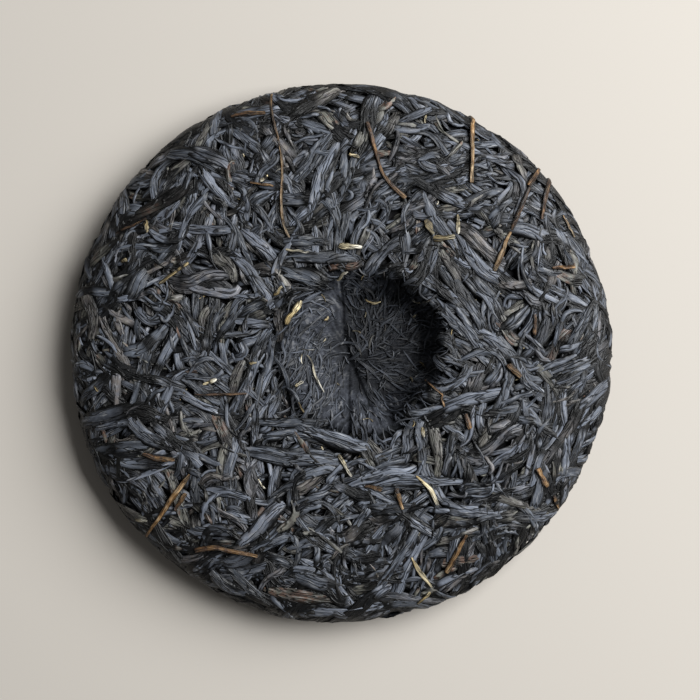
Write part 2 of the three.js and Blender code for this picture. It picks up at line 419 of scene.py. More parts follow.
def lock(start, kind, count):
    """A lock of leaves that lie side by side and wind together."""
    place, normal = onto_bed(start)
    heading = turned(flow(place, normal) * draw.choice((-1.0, 1.0)), normal, draw.gauss(0.0, LOCK_SPREAD))
    side = normal.cross(heading)
    curve = drawn_curve(kind)
    pitch = LOCK_PITCH * kind["width"][2]
    for i in range(count):
        offset = side * (pitch * (i - 0.5 * (count - 1))) - heading * draw.uniform(*LOCK_STAGGER)
        aside = turned(heading, normal, draw.gauss(0.0, LOCK_WANDER))
        leaf = strand(place + offset, kind, aside, neighbour_curve(curve))
        if leaf:
            yield leaf


# The kinds of strip. Lengths and widths (least, most, usual) are in millimetres, plump is thickness for width,
# bend, spread, sway and twist are in radians, and follow, stray and hooks are shares.
BED_STRIP = {
    "length": (9, 22), "width": (1.6, 3.4, 2.4), "plump": (0.25, 0.45), "dive": (0.2, 0.5), "steps": 7,
    "bend": 0.5, "sway": 0.5, "twist": 0.3, "spread": 0.3, "follow": 0.1, "stray": 0.5, "hooks": 0.0,
}
RIBBON = {
    "length": (14, 42), "width": (2.2, 5.8, 3.8), "plump": (0.15, 0.25), "dive": (0.7, 1.5), "steps": 12,
    "bend": 0.5, "sway": 1.3, "twist": 0.3, "spread": 0.4, "follow": 0.07, "stray": 0.1, "hooks": 0.12,
}
FOLDED = {
    "length": (10, 30), "width": (1.6, 3.6, 2.4), "plump": (0.24, 0.4), "dive": (0.6, 1.3), "steps": 12,
    "bend": 0.7, "sway": 1.8, "twist": 0.5, "spread": 0.5, "follow": 0.08, "stray": 0.2, "hooks": 0.25,
}
ROLLED = {
    "length": (7, 24), "width": (0.9, 2.2, 1.4), "plump": (0.5, 0.8), "dive": (0.5, 1.2), "steps": 12,
    "bend": 0.9, "sway": 2.2, "twist": 0.9, "spread": 0.5, "follow": 0.06, "stray": 0.25, "hooks": 0.35,
}
RIM_STRIP = {
    "length": (10, 30), "width": (1.6, 4.2, 2.6), "plump": (0.22, 0.4), "dive": (0.3, 0.8), "steps": 11,
    "bend": 0.4, "sway": 1.0, "twist": 0.4, "spread": 0.35, "follow": 0.1, "stray": 0.12, "hooks": 0.1,
}
FRONT_STRIP = {
    "length": (10, 30), "width": (2.2, 5.0, 3.2), "plump": (0.16, 0.3), "dive": (0.3, 0.8), "steps": 8,
    "bend": 0.5, "sway": 1.0, "twist": 0.3, "spread": 0.3, "follow": 0.12, "stray": 0.12, "hooks": 0.05,
}
SMEARED = {
    "length": (5, 18), "width": (0.3, 1.4, 0.6), "plump": (0.12, 0.25), "dive": (0.15, 0.3), "steps": 9,
    "bend": 0.5, "sway": 1.2, "twist": 0.1, "spread": 0.35, "follow": 0.12, "stray": 0.12, "hooks": 0.1,
}
SHRED = {
    "length": (2, 6), "width": (0.35, 0.9, 0.5), "plump": (0.25, 0.5), "dive": (0.1, 0.3), "steps": 6,
    "bend": 0.8, "sway": 0.5, "twist": 0.4, "spread": 0.9, "follow": 0.05, "stray": 0.3, "hooks": 0.1,
}
FLECK = {
    "length": (1.5, 5), "width": (0.35, 0.9, 0.5), "plump": (0.3, 0.5), "dive": (0.0, 0.2), "steps": 6,
    "bend": 0.8, "sway": 0.5, "twist": 0.4, "spread": 0.3, "follow": 0.05, "stray": 0.4, "hooks": 0.1,
}

# The stems and buds that stand out in the photograph: pixels along each, its width, and how pale it is.
STEMS = (
    (((233, 123), (250, 120), (268, 118)), 1.9, 0.45),
    (((274, 98), (271, 111), (282, 156), (284, 177), (282, 204), (284, 230), (292, 242)), 1.1, 0.7),
    (((251, 185), (275, 189)), 0.9, 0.5),
    (((125, 233), (138, 228), (151, 220)), 0.9, 0.3),
    (((467, 120), (470, 140), (470, 187)), 1.8, 0.65),
    (((366, 124), (374, 150), (380, 174), (393, 190), (407, 201)), 1.6, 0.4),
    (((508, 233), (491, 273)), 1.7, 0.7),
    (((526, 190), (508, 233)), 1.4, 0.2),
    (((539, 166), (524, 190)), 1.8, 0.35),
    (((543, 181), (537, 223)), 1.7, 0.25),
    (((557, 218), (569, 240)), 0.9, 0.8),
    (((548, 269), (572, 268)), 1.3, 0.5),
    (((532, 314), (533, 336)), 1.4, 0.3),
    (((145, 452), (160, 456), (178, 458)), 1.9, 0.45),
    (((151, 532), (170, 505), (193, 472)), 1.9, 0.6),
    (((178, 508), (189, 491)), 1.7, 0.45),
    (((197, 546), (219, 543), (240, 548), (260, 552)), 2.1, 0.5),
    (((195, 394), (249, 393)), 0.9, 0.3),
    (((506, 364), (519, 377)), 2.4, 0.55),
    (((464, 413), (469, 428)), 2.0, 0.4),
    (((533, 466), (543, 484)), 2.2, 0.55),
    (((549, 492), (552, 504)), 1.5, 0.5),
    (((464, 530), (444, 569)), 2.0, 0.55),
    (((364, 484), (383, 488)), 1.5, 0.5),
    (((396, 486), (402, 508)), 1.6, 0.55),
    (((429, 383), (438, 392), (443, 407)), 0.9, 0.5),
)
BUDS = (
    (((424, 221), (433, 237)), 2.3, 0.55),
    (((432, 241), (455, 239)), 2.4, 0.6),
    (((457, 216), (457, 237)), 1.5, 0.75),
    (((286, 325), (301, 301)), 2.3, 0.5),
    (((338, 247), (363, 249)), 2.3, 0.8),
    (((415, 474), (428, 485), (437, 504)), 1.6, 0.7),
    (((409, 553), (420, 570), (431, 583)), 1.5, 0.6),
    (((415, 597), (429, 587)), 1.6, 0.4),
    (((204, 384), (219, 378)), 1.4, 0.8),
    (((250, 363), (258, 362)), 1.3, 0.5),
    (((269, 178), (262, 184)), 1.6, 0.8),
    (((162, 286), (176, 274), (192, 263)), 1.4, 0.3),
    (((349, 157), (359, 161)), 1.4, 0.6),
    (((286, 251), (310, 253)), 1.2, 0.9),
    (((275, 296), (283, 287)), 1.5, 0.5),
    (((421, 425), (423, 437)), 1.3, 0.8),
    (((338, 452), (352, 476)), 1.6, 0.8),
    (((305, 355), (313, 363), (312, 374), (324, 394)), 0.9, 0.9),
    (((296, 386), (303, 381)), 1.2, 0.85),
    (((323, 320), (327, 316)), 1.2, 0.55),
    (((336, 278), (342, 273), (348, 271)), 1.0, 0.85),
    (((365, 297), (374, 303), (382, 301)), 0.9, 0.5),
    (((150, 222), (150, 234)), 1.8, 0.45),
    (((125, 263), (131, 261)), 1.6, 0.35),
    (((99, 385), (104, 391)), 1.4, 0.3),
    (((140, 515), (152, 517)), 1.2, 0.85),
)
STEM_CUT = {
    "plump": 0.6, "tip": 0.8, "lopsided": 1.0, "bluntness": 0.3, "dive": 0.1, "steps": 18, "wander": 0.14,
}
BUD_CUT = {
    "plump": 0.35, "tip": 0.45, "lopsided": 0.9, "bluntness": 0.6, "dive": 0.15, "steps": 14, "wander": 0.2,
}
PICKED_TWIST = 0.5
PICKED_TONE_SPREAD = 0.15
PICKED_LIFT = 0.75


def from_pixel(pixel):
    x = (pixel[0] - CAKE_PIXEL[0]) * MM_PER_PIXEL
    y = (CAKE_PIXEL[1] - pixel[1]) * MM_PER_PIXEL
    return x, y


def picked(pixels, width, pale, cut):
    """A stem or bud that lies along a row of the photograph's pixels."""
    corners = np.array([from_pixel(pixel) for pixel in pixels])
    reach = np.concatenate([[0.0], np.cumsum(np.linalg.norm(np.diff(corners, axis=0), axis=1))])
    run = np.linspace(0.0, reach[-1], cut["steps"])
    line = np.stack([np.interp(run, reach, corners[:, axis]) for axis in (0, 1)], axis=1)
    line += [(draw.gauss(0.0, cut["wander"]), draw.gauss(0.0, cut["wander"])) for _ in run]
    spots = [onto_bed(back_start(x, y)) for x, y in smooth_run(line, 2)]
    path = np.array([spot[0] for spot in spots])
    normals = np.array([spot[1] for spot in spots])
    shape = {**cut, "width": width, "twist": draw.gauss(0.0, PICKED_TWIST)}
    looks = {"tone": draw.gauss(TONE, PICKED_TONE_SPREAD), "tint": pale}
    return lay(path, normals, shape, looks, PICKED_LIFT)


def mark_buried(leaves):
    """Notes how deep each point of a strip ends up under later strips: as a mean, and where it is barest."""
    for leaf in leaves:
        piles = [pile_height[near] for near in leaf["near"]]
        mean = np.array([pile.mean() for pile in piles])
        barest = np.array([np.quantile(pile, BARE_SHARE) for pile in piles])
        leaf["covered"] = np.clip((mean - leaf["top"]) / BURIED_DEPTH, 0.0, 1.0)
        # The barest depth sets the painted shade of a strip under later strips.
        leaf["buried"] = np.clip((barest - leaf["top"]) / BURIED_DEPTH, 0.0, 1.0)


def shows(leaf):
    """Whether a strip isn't covered from end to end. Strips at the rim are all kept, as they close it."""
    reach = np.hypot(leaf["spine"][:, 0], leaf["spine"][:, 1]).max()
    return reach > CLOSED_RIM or leaf["covered"].min() < COVERED


# Nodes that both the sweep and the materials are built from.
def add_node(tree, kind, inputs=(), **settings):
    """Adds a node, sets its properties, and links or fills the inputs, given as pairs of socket and value."""
    node = tree.nodes.new(kind)
    for key, value in settings.items():
        setattr(node, key, value)
    for socket, value in dict(inputs).items():
        if isinstance(value, bpy.types.NodeSocket):
            tree.links.new(value, node.inputs[socket])
        else:
            node.inputs[socket].default_value = value
    return node


def calc(tree, operation, *values):
    return add_node(tree, "ShaderNodeMath", enumerate(values), operation=operation).outputs[0]


def vector_calc(tree, operation, *values):
    node = add_node(tree, "ShaderNodeVectorMath", enumerate(values), operation=operation)
    return node.outputs["Value" if operation == "DOT_PRODUCT" else "Vector"]


def scaled(tree, vector, factor):
    node = add_node(tree, "ShaderNodeVectorMath", {0: vector, "Scale": factor}, operation="SCALE")
    return node.outputs["Vector"]


def joined(tree, x, y, z):
    return add_node(tree, "ShaderNodeCombineXYZ", {"X": x, "Y": y, "Z": z}).outputs[0]


def noise_at(tree, vector, scale, detail, roughness=0.5, waviness=0.0):
    inputs = {"Vector": vector, "Scale": scale, "Detail": detail}
    inputs.update({"Roughness": roughness, "Distortion": waviness})
    return add_node(tree, "ShaderNodeTexNoise", inputs, noise_dimensions="3D").outputs[0]


def remap(tree, value, source, target, easing="LINEAR"):
    inputs = {"Value": value, "From Min": source[0], "From Max": source[1]}
    inputs.update({"To Min": target[0], "To Max": target[1]})
    return add_node(tree, "ShaderNodeMapRange", inputs, interpolation_type=easing).outputs[0]


FOLD_DETAIL = 1.0
LEAF_SHIFT = 7.31  # moves the noise from one strip to the next
PROFILE_TOP = 0.35  # how far the profile's points are drawn to its upper side


def sweep_tree():
    """Geometry Nodes that sweep a creased strip along every spine."""
    tree = bpy.data.node_groups.new("leaf_sweep", "GeometryNodeTree")
    face = tree.interface
    face.new_socket("Spines", in_out="INPUT", socket_type="NodeSocketGeometry")
    face.new_socket("Sides", in_out="INPUT", socket_type="NodeSocketInt")
    for label in ("Squareness", "Fold Depth", "Fold Spread", "Fold Run"):
        face.new_socket(label, in_out="INPUT", socket_type="NodeSocketFloat")
    face.new_socket("Material", in_out="INPUT", socket_type="NodeSocketMaterial")
    face.new_socket("Leaves", in_out="OUTPUT", socket_type="NodeSocketGeometry")
    given = tree.nodes.new("NodeGroupInput").outputs

    def named(name, data_type="FLOAT"):
        node = add_node(tree, "GeometryNodeInputNamedAttribute", {"Name": name}, data_type=data_type)
        return node.outputs["Attribute"]

    def store(geometry, name, value, data_type="FLOAT"):
        inputs = {"Geometry": geometry, "Name": name, "Value": value}
        node = add_node(tree, "GeometryNodeStoreNamedAttribute", inputs, data_type=data_type, domain="POINT")
        return node.outputs["Geometry"]

    def boxed(value):
        size = calc(tree, "POWER", calc(tree, "ABSOLUTE", value), given["Squareness"])
        return calc(tree, "MULTIPLY", calc(tree, "SIGN", value), size)

    # The rail: each spine with its lie and roll.
    curve = add_node(tree, "GeometryNodeMeshToCurve", {"Mesh": given["Spines"]}).outputs["Curve"]
    normal_in = {"Curve": curve, "Normal": named("lie", "FLOAT_VECTOR")}
    curve = add_node(tree, "GeometryNodeSetCurveNormal", normal_in, mode="FREE").outputs["Curve"]
    tilt_in = {"Curve": curve, "Tilt": named("roll")}
    curve = add_node(tree, "GeometryNodeSetCurveTilt", tilt_in).outputs["Curve"]
    measure = tree.nodes.new("GeometryNodeSplineParameter").outputs
    position = tree.nodes.new("GeometryNodeInputPosition").outputs[0]
    rail = store(curve, "spine", position, "FLOAT_VECTOR")
    rail = store(rail, "along", measure["Length"])
    rail = store(rail, "run", measure["Factor"])

    # The profile: a squarish ring with more points on its upper side.
    circle_in = {"Resolution": given["Sides"]}
    circle = add_node(tree, "GeometryNodeCurvePrimitiveCircle", circle_in).outputs["Curve"]
    index = tree.nodes.new("GeometryNodeInputIndex").outputs[0]
    turn = calc(tree, "MULTIPLY", calc(tree, "DIVIDE", index, given["Sides"]), 2.0 * math.pi)
    turn = calc(tree, "MULTIPLY_ADD", calc(tree, "COSINE", turn), PROFILE_TOP, turn)
    across, above = boxed(calc(tree, "COSINE", turn)), boxed(calc(tree, "SINE", turn))
    ring_in = {"Geometry": circle, "Position": joined(tree, above, across, 0.0)}
    ring = add_node(tree, "GeometryNodeSetPosition", ring_in).outputs["Geometry"]
    sweep_in = {"Curve": rail, "Profile Curve": store(ring, "across", across), "Scale": named("half"),
                "Fill Caps": True}
    strips = add_node(tree, "GeometryNodeCurveToMesh", sweep_in).outputs["Mesh"]

    # Strips are squeezed flat and folded lengthwise.
    lie, middle = named("lie", "FLOAT_VECTOR"), named("spine", "FLOAT_VECTOR")
    offset = vector_calc(tree, "SUBTRACT", position, middle)
    rise = vector_calc(tree, "DOT_PRODUCT", offset, lie)
    squeeze = calc(tree, "MULTIPLY", rise, calc(tree, "SUBTRACT", named("plump"), 1.0))
    sideways = calc(tree, "MULTIPLY", named("across"), given["Fold Spread"])
    lengthwise = calc(tree, "MULTIPLY", named("along"), given["Fold Run"])
    place = joined(tree, sideways, lengthwise, calc(tree, "MULTIPLY", named("leaf"), LEAF_SHIFT))
    fold = calc(tree, "SUBTRACT", noise_at(tree, place, 1.0, FOLD_DETAIL), 0.5)
    swell = calc(tree, "MULTIPLY", calc(tree, "MULTIPLY", fold, given["Fold Depth"]), named("half"))
    moved = vector_calc(tree, "ADD", offset, scaled(tree, lie, calc(tree, "ADD", squeeze, swell)))
    creased_in = {"Geometry": strips, "Position": vector_calc(tree, "ADD", middle, moved)}
    creased = add_node(tree, "GeometryNodeSetPosition", creased_in).outputs["Geometry"]
    smooth = add_node(tree, "GeometryNodeSetShadeSmooth", {0: store(creased, "fold", fold)}).outputs[0]
    real = add_node(tree, "GeometryNodeRealizeInstances", {"Geometry": smooth}).outputs["Geometry"]
    painted = add_node(tree, "GeometryNodeSetMaterial", {"Geometry": real, "Material": given["Material"]})
    add_node(tree, "NodeGroupOutput", {"Leaves": painted.outputs["Geometry"]})
    return tree


LEAF_SWEEP = sweep_tree()


def new_piece(name, mesh):
    piece = bpy.data.objects.new(name, mesh)
    bpy.context.scene.collection.objects.link(piece)
    return piece


def spine_mesh(name, leaves):
    """A mesh of edge chains, one for each strip, that holds what the sweep reads."""
    points = np.concatenate([leaf["spine"] for leaf in leaves]) * MM
    edges, first = [], 0
    for leaf in leaves:
        count = len(leaf["spine"])
        edges += [(first + i, first + i + 1) for i in range(count - 1)]
        first += count
    mesh = bpy.data.meshes.new(name)
    mesh.from_pydata(points.tolist(), edges, [])
    values = {key: np.concatenate([leaf[key] for leaf in leaves]) for key in ("half", "roll", "buried")}
    values["half"] = values["half"] * MM
    for key in ("plump", "tone", "tint"):
        values[key] = np.concatenate([np.full(len(leaf["spine"]), leaf[key]) for leaf in leaves])
    numbers = [np.full(len(leaf["spine"]), float(i)) for i, leaf in enumerate(leaves)]
    values["leaf"] = np.concatenate(numbers)
    for key, row in values.items():
        mesh.attributes.new(key, "FLOAT", "POINT").data.foreach_set("value", row.astype(np.float32))
    lie = np.concatenate([leaf["lie"] for leaf in leaves]).astype(np.float32)
    mesh.attributes.new("lie", "FLOAT_VECTOR", "POINT").data.foreach_set("vector", lie.ravel())
    return mesh


def swept(name, leaves, material, sides, fold, spread=2.6, run=110.0, square=0.8):
    """A finished piece of many strips, as a plain mesh."""
    mark_buried(leaves)
    leaves = [leaf for leaf in leaves if shows(leaf)]
    carrier = new_piece(name + "_spines", spine_mesh(name + "_spines", leaves))
    modifier = carrier.modifiers.new("leaf_sweep", "NODES")
    modifier.node_group = LEAF_SWEEP
    values = {"Sides": sides, "Squareness": square, "Fold Depth": fold, "Fold Spread": spread, "Fold Run": run,
              "Material": material}
    for item in LEAF_SWEEP.interface.items_tree:
        if item.in_out == "INPUT" and item.name in values:
            modifier[item.identifier] = values[item.name]
    graph = bpy.context.evaluated_depsgraph_get()
    mesh = bpy.data.meshes.new_from_object(carrier.evaluated_get(graph))
    mesh.name = name
    bpy.data.objects.remove(carrier)
    for spare in ("spine", "lie", "roll", "plump"):
        mesh.attributes.remove(mesh.attributes[spare])
    settle(mesh)
    return new_piece(name, mesh)


# Folds that the cloth pressed into the hollow, as rows of the photograph's pixels.
CLOTH_FOLDS = (
    ((341, 284), (343, 330), (349, 359), (348, 400), (350, 446)),
    ((349, 359), (366, 398), (372, 412)),
)
CLOTH_FOLD_DEPTH = 1.3
CLOTH_FOLD_WIDTH = 0.7
FOLD_MARGIN = 0.5  # strips of the lining end where the folds are this deep


def cloth_fold(x, y):
    """Depth of the cloth's folds at places in millimetres."""
    depth = np.zeros_like(x)
    for row in CLOTH_FOLDS:
        corners = [from_pixel(pixel) for pixel in row]
        for (ax, ay), (bx, by) in zip(corners, corners[1:]):
            dx, dy = bx - ax, by - ay
            t = np.clip(((x - ax) * dx + (y - ay) * dy) / (dx * dx + dy * dy), 0.0, 1.0)
            away = np.hypot(x - ax - t * dx, y - ay - t * dy)
            depth = np.maximum(depth, CLOTH_FOLD_DEPTH * np.exp(-(away / CLOTH_FOLD_WIDTH) ** 2))
    return depth


def settle(mesh):
    """Presses the cloth's folds into a piece, and keeps it above the table."""
    points = np.empty(len(mesh.vertices) * 3, dtype=np.float32)
    mesh.vertices.foreach_get("co", points)
    points = points.reshape(-1, 3)
    back = points[:, 2] > 0.5 * RIM_HEIGHT * MM
    points[:, 2] -= back * cloth_fold(points[:, 0] / MM, points[:, 1] / MM) * MM
    points[:, 2] = np.maximum(points[:, 2], 0.0)
    mesh.vertices.foreach_set("co", points.ravel())
    mesh.update()


def shader(name):
    material = bpy.data.materials.new(name)
    material.use_nodes = True
    tree = material.node_tree
    return material, tree, tree.nodes["Principled BSDF"]


def attribute(tree, name):
    return add_node(tree, "ShaderNodeAttribute", attribute_name=name).outputs["Fac"]


def ramp(tree, value, stops):
    node = add_node(tree, "ShaderNodeValToRGB", {0: value})
    elements = node.color_ramp.elements
    while len(elements) < len(stops):
        elements.new(0.5)
    for element, (position, colour) in zip(elements, stops):
        element.position = position
        element.color = (*colour, 1.0)
    return node.outputs["Color"]


def mixed(tree, factor, first, second):
    node = add_node(tree, "ShaderNodeMix", {0: factor, 6: first, 7: second}, data_type="RGBA")
    return node.outputs[2]


GRAIN_RUN = 90.0  # grain along a strip, for each metre
CREASE_WIDTH = 0.075
CREASE_WAVE = 0.7
FIBRE_SCALE, FIBRE_DETAIL, FIBRE_ROUGHNESS = 2.6, 3.0, 0.6
FIBRE_HEIGHT, CREASE_HEIGHT = 0.5, 0.5
RIDGE_RANGE = (0.54, 0.72)
MOTTLE_SIZE, MOTTLE_DETAIL = 420.0, 4.0


def grain_group():
    """Lengthwise grain of a dried strip: thin creases, a height for the bump, a mask of its ridges for a pale
    colour that is partly dry leaf and partly painted highlight, and a slow mottle.
    """
    group = bpy.data.node_groups.new("strip_grain", "ShaderNodeTree")
    group.interface.new_socket("Fineness", in_out="INPUT", socket_type="NodeSocketFloat")
    for label in ("Crease", "Height", "Ridge", "Mottle"):
        group.interface.new_socket(label, in_out="OUTPUT", socket_type="NodeSocketFloat")
    given = group.nodes.new("NodeGroupInput").outputs
    sideways = calc(group, "MULTIPLY", attribute(group, "across"), attribute(group, "half"))
    sideways = calc(group, "MULTIPLY", sideways, given["Fineness"])
    lengthwise = calc(group, "MULTIPLY", attribute(group, "along"), GRAIN_RUN)
    place = joined(group, sideways, lengthwise, calc(group, "MULTIPLY", attribute(group, "leaf"), LEAF_SHIFT))
    folds = noise_at(group, place, 1.0, 1.0, waviness=CREASE_WAVE)
    fibre = noise_at(group, place, FIBRE_SCALE, FIBRE_DETAIL, FIBRE_ROUGHNESS)
    from_middle = calc(group, "ABSOLUTE", calc(group, "SUBTRACT", folds, 0.5))
    crease = remap(group, from_middle, (0.0, CREASE_WIDTH), (0.0, 1.0), "SMOOTHSTEP")
    creased = calc(group, "MULTIPLY", crease, CREASE_HEIGHT)
    height = calc(group, "MULTIPLY_ADD", fibre, FIBRE_HEIGHT, creased)
    coords = group.nodes.new("ShaderNodeTexCoord").outputs["Object"]
    result = {
        "Crease": crease,
        "Height": height,
        "Ridge": remap(group, fibre, RIDGE_RANGE, (0.0, 1.0)),
        "Mottle": noise_at(group, coords, MOTTLE_SIZE, MOTTLE_DETAIL),
    }
    add_node(group, "NodeGroupOutput", result)
    return group


STRIP_GRAIN = grain_group()
BUMP_DISTANCE = 0.0009
MOTTLE_WEIGHT = 0.9
LEVEL_RANGE, LEVEL_STRENGTH = (0.5, 1.5), (0.4, 1.7)
EDGE_BAND = (0.55, 0.94)  # shares of a strip's half width between which its edge darkens, as painted shade between strips
# Painted shade in the hollows of a strip's folds and painted highlight on their crests.
FOLD_RANGE, FOLD_PAINTED_LIGHT = (-0.16, 0.16), (0.45, 1.45)
# Painted shade where later strips cover a strip.
BURIED_RANGE, BURIED_PAINTED_SHADE = (0.0, 0.75), (1.0, 0.03)
DULL_RANGE = (0.3, 0.7)


def strip_material(name, tints, ridge_and_highlight, roughness, fineness, bump, ridge_and_highlight_share=0.5, gloss=0.4, drift=0.0, stain=0.3,
                   crease_shade=0.1, edge_shade=0.02):
    """Dried strip: a tint for each strip, with painted shade in its creases, along its edges, in the hollows
    of its folds and where later strips cover it, painted highlight on its folds' crests, and pale ridges that
    are partly dry leaf and partly painted highlight.
    """
    material, tree, bsdf = shader(name)
    grain = add_node(tree, "ShaderNodeGroup", node_tree=STRIP_GRAIN)
    grain.inputs["Fineness"].default_value = fineness
    grain = grain.outputs
    stained = calc(tree, "SUBTRACT", grain["Mottle"], 0.5)
    tint = calc(tree, "MULTIPLY_ADD", stained, stain, attribute(tree, "tint"))
    if drift:
        from_middle = calc(tree, "SUBTRACT", attribute(tree, "run"), 0.5)
        tint = calc(tree, "MULTIPLY_ADD", from_middle, drift, tint)
    level = calc(tree, "MULTIPLY_ADD", grain["Mottle"], MOTTLE_WEIGHT, attribute(tree, "tone"))
    strength = remap(tree, level, LEVEL_RANGE, LEVEL_STRENGTH)
    toned = scaled(tree, ramp(tree, tint, tints), strength)
    # Pale ridges: partly the dry leaf's own colour, partly painted highlight.
    colour = mixed(tree, calc(tree, "MULTIPLY", grain["Ridge"], ridge_and_highlight_share), toned, (*ridge_and_highlight, 1.0))
    sideways = calc(tree, "ABSOLUTE", attribute(tree, "across"))
    # Painted shade in creases, at the edges between strips, in fold hollows and under later strips; painted
    # highlight on fold crests.
    painted_light_masks = (
        remap(tree, grain["Crease"], (0.0, 1.0), (crease_shade, 1.0)),
        remap(tree, sideways, EDGE_BAND, (1.0, edge_shade), "SMOOTHSTEP"),
        remap(tree, attribute(tree, "fold"), FOLD_RANGE, FOLD_PAINTED_LIGHT),
        remap(tree, attribute(tree, "buried"), BURIED_RANGE, BURIED_PAINTED_SHADE),
    )
    for painted_light_mask in painted_light_masks:
        colour = scaled(tree, colour, painted_light_mask)
    tree.links.new(colour, bsdf.inputs["Base Color"])
    tree.links.new(remap(tree, grain["Mottle"], DULL_RANGE, roughness), bsdf.inputs["Roughness"])
    bsdf.inputs["Specular IOR Level"].default_value = gloss
    dent_in = {"Strength": bump, "Distance": BUMP_DISTANCE, "Height": grain["Height"]}
    dent = add_node(tree, "ShaderNodeBump", dent_in)
    tree.links.new(dent.outputs["Normal"], bsdf.inputs["Normal"])
    return material


SLATE = (0.088, 0.098, 0.120)
SOOT = (0.053, 0.060, 0.073)
UMBER = (0.070, 0.062, 0.058)
MOSS = (0.105, 0.104, 0.088)
RUST = (0.085, 0.050, 0.036)
LEAF_TINTS = ((0.0, SLATE), (0.35, SOOT), (0.68, SLATE), (0.84, UMBER), (0.95, MOSS), (1.0, RUST))
# Colours of the pale ridges: partly dry leaf, partly painted highlight.
LEAF_RIDGE_AND_HIGHLIGHT = (0.46, 0.455, 0.445)
SMEAR_TINTS = ((0.0, (0.070, 0.078, 0.095)), (0.5, (0.040, 0.045, 0.056)), (1.0, (0.080, 0.082, 0.087)))
# Near-black tints of the bed strips: painted shade in the gaps.
SHADED_BED_TINTS = ((0.0, (0.008, 0.008, 0.010)), (1.0, (0.015, 0.013, 0.013)))
STEM_TINTS = ((0.0, (0.018, 0.011, 0.008)), (0.35, (0.065, 0.031, 0.014)), (0.6, (0.19, 0.105, 0.04)),
              (1.0, (0.36, 0.28, 0.18)))
STEM_RIDGE_AND_HIGHLIGHT = (0.36, 0.25, 0.13)
BUD_TINTS = ((0.0, (0.09, 0.07, 0.035)), (0.4, (0.30, 0.22, 0.095)), (0.7, (0.46, 0.39, 0.24)),
             (1.0, (0.54, 0.51, 0.43)))
BUD_RIDGE_AND_HIGHLIGHT = (0.60, 0.57, 0.48)

leaf_skin = strip_material(
    "leaf_skin", LEAF_TINTS, LEAF_RIDGE_AND_HIGHLIGHT, roughness=(0.38, 0.58), fineness=520.0, bump=0.7, ridge_and_highlight_share=0.3,
    gloss=0.33, crease_shade=0.22,
)
ribbon_skin = strip_material(
    "ribbon_skin", LEAF_TINTS, LEAF_RIDGE_AND_HIGHLIGHT, roughness=(0.38, 0.58), fineness=620.0, bump=0.9, ridge_and_highlight_share=0.35,
    gloss=0.33,
)
smear_skin = strip_material(
    "smear_skin", SMEAR_TINTS, SLATE, roughness=(0.45, 0.7), fineness=1200.0, bump=0.5, ridge_and_highlight_share=0.2, gloss=0.25,
    crease_shade=0.45, edge_shade=0.4,
)
# Near-black strips at the bottom of the gaps: painted shade.
shaded_bed_skin = strip_material(
    "bed_leaf_skin", SHADED_BED_TINTS, SOOT, roughness=(0.6, 0.85), fineness=1100.0, bump=0.6, gloss=0.1)
stem_skin = strip_material(
    "stem_skin", STEM_TINTS, STEM_RIDGE_AND_HIGHLIGHT, roughness=(0.4, 0.65), fineness=1500.0, bump=0.7, ridge_and_highlight_share=0.35,
    drift=0.25, stain=1.0, edge_shade=0.2,
)
bud_skin = strip_material(
    "bud_skin", BUD_TINTS, BUD_RIDGE_AND_HIGHLIGHT, roughness=(0.45, 0.7), fineness=1300.0, bump=0.8, ridge_and_highlight_share=0.4,
    drift=0.4, stain=0.6, edge_shade=0.35,
)


# Near-black crumbs of the bed: painted shade in the gaps.
SHADED_BED_CRUMBS = ((0.0, (0.003, 0.003, 0.0035)), (0.7, (0.008, 0.008, 0.009)), (1.0, (0.018, 0.016, 0.015)))
# Lining tints by relief: near black in low streaks and pale on high ones, painted shade and highlight over the
# slate.
LINING_TINTS_AND_SHADE = ((0.4, (0.006, 0.007, 0.008)), (0.7, (0.024, 0.026, 0.032)), (0.9, (0.046, 0.050, 0.060)),
               (1.0, (0.10, 0.102, 0.108)))


CRUMB_SIZE = 900.0
SPECKLE_SIZE, SPECKLE_DETAIL, SPECKLE_WEIGHT = 900.0, 4.0, 0.5
# The lining darkens towards the hollow's floor: painted shade.
DEEP_RANGE, DEEP_PAINTED_SHADE = (0.55, 1.0), (1.0, 0.3)
LINED_RANGE = (0.0, 0.15)
BED_BUMP, BED_BUMP_DISTANCE = 0.7, 0.0005
BED_ROUGHNESS, BED_GLOSS = 0.75, 0.12


